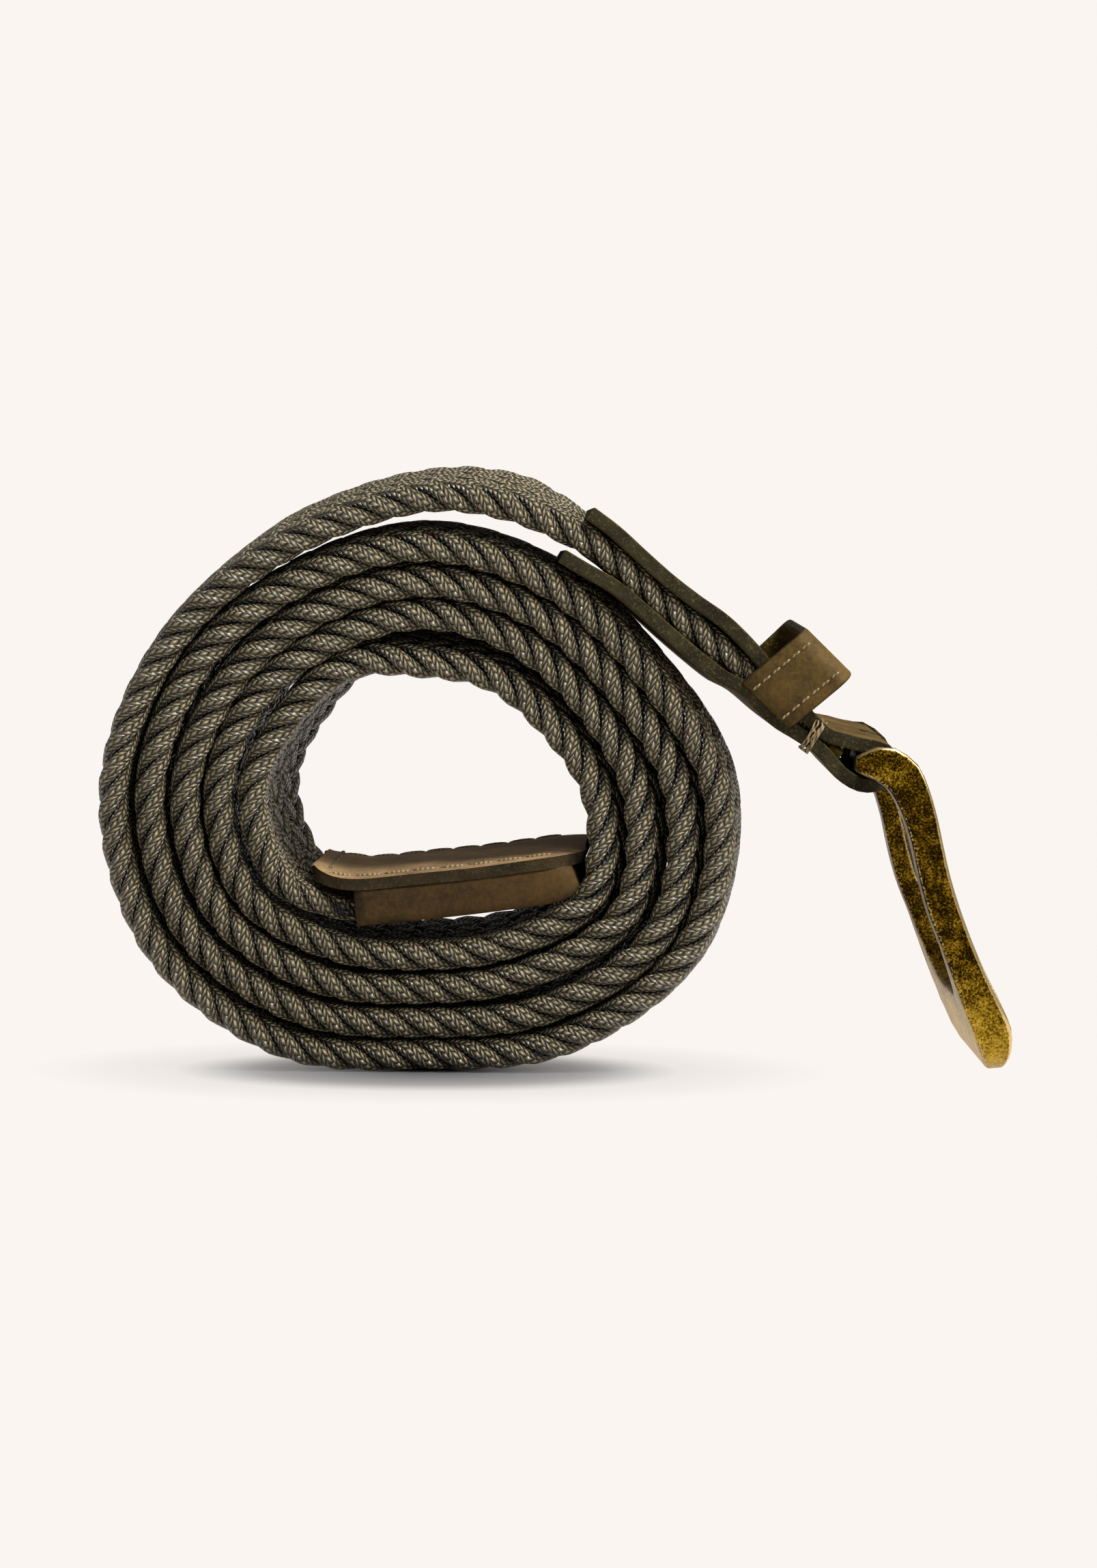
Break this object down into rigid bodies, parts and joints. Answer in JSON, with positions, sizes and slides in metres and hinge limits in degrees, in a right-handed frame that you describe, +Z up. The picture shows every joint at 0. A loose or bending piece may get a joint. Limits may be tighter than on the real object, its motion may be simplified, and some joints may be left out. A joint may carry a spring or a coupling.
{
  "type": "woven belt",
  "caption": "Braided elastic belt rolled into a standing coil, with a leather tip, leather tab, keeper loop and a brass frame buckle with a prong.",
  "frame": {"origin": "middle of the bounding box on the ground", "axes": "+X from the coil towards the buckle, +Y across the strap away from the viewer, +Z up"},
  "size_m": [0.1402, 0.0498, 0.091],
  "materials": {
    "braid": "tubular braided cords, slightly shiny yarn",
    "tip_leather": "smooth grain, matt",
    "tab_leather": "smooth grain with raw edges",
    "brass": "antiqued, darkened in the hollows and polished on the edges"
  },
  "bodies": {
    "strap": {"woven_strap": "braid", "tip_sleeve": "tip_leather", "tip_tab": "tip_leather", "buckle_tab": "tab_leather", "keeper_loop": "tab_leather"},
    "frame": {"buckle_frame": "brass"},
    "prong": {"prong": "brass"}
  },
  "joints": [
    {"name": "buckle_swing", "type": "hinge", "parent": "strap", "child": "frame", "pos_m": [0.04705, -0.00079, 0.04748], "axis": [0.0946, -0.9955, 0], "range_deg": [-40, 70]},
    {"name": "prong_hinge", "type": "hinge", "parent": "frame", "child": "prong", "pos_m": [0.04705, -0.00079, 0.04748], "axis": [0.0946, -0.9955, 0], "range_deg": [0, 75]}
  ]
}
